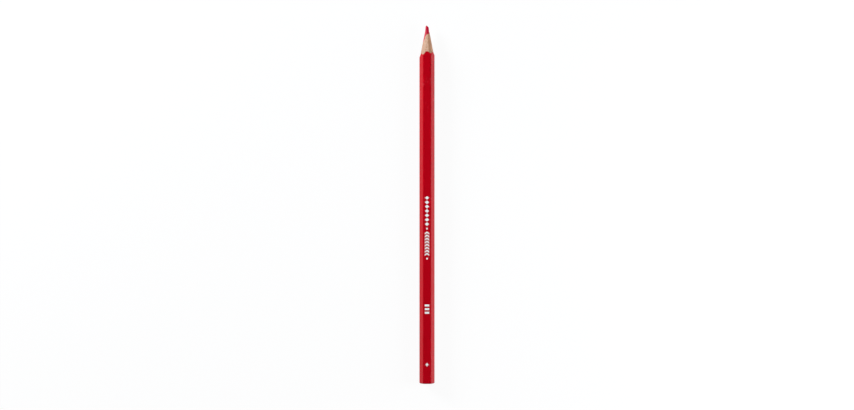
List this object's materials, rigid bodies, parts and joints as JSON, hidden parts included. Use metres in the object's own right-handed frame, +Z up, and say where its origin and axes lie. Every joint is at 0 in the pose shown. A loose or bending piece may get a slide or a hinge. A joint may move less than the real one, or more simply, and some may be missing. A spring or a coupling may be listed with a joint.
{
  "type": "colored pencil",
  "caption": "Sharpened hexagonal wood-cased coloured pencil: wax core glued between grooved slats, red gloss coats, dipped butt end, plain foil marks on a flat.",
  "frame": {"origin": "on the surface that the pencil lies on, under the middle of its length", "axes": "+Y along the barrel from the butt face to the point; +Z up, out of the stamped flat; +X to the right of someone who looks down on that flat with the point away from them"},
  "size_m": [0.0074, 0.177, 0.0068],
  "materials": {
    "light_wood": "bare, cut by a sharpener",
    "brown_wood": "bare, cut by a sharpener",
    "wax_core": "waxy pigment, a little shiny where worn",
    "wood_glue": "dried film",
    "primer": "matt filler coat",
    "red_lacquer": "opaque gloss lacquer",
    "clear_varnish": "clear gloss",
    "red_dip": "opaque gloss lacquer",
    "white_foil": "stamped pigment foil"
  },
  "bodies": {
    "root": {"stamped_slat": "light_wood", "plain_slat": "brown_wood", "core": "wax_core", "core_glue": "wood_glue", "seam_glue_upper": "wood_glue", "seam_glue_lower": "wood_glue", "primer_coat": "primer", "colour_lacquer": "red_lacquer", "clear_varnish": "clear_varnish", "end_dip": "red_dip", "foil_lozenges": "white_foil", "foil_chevrons": "white_foil", "foil_dots": "white_foil", "foil_bars": "white_foil", "foil_star": "white_foil"}
  },
  "joints": []
}
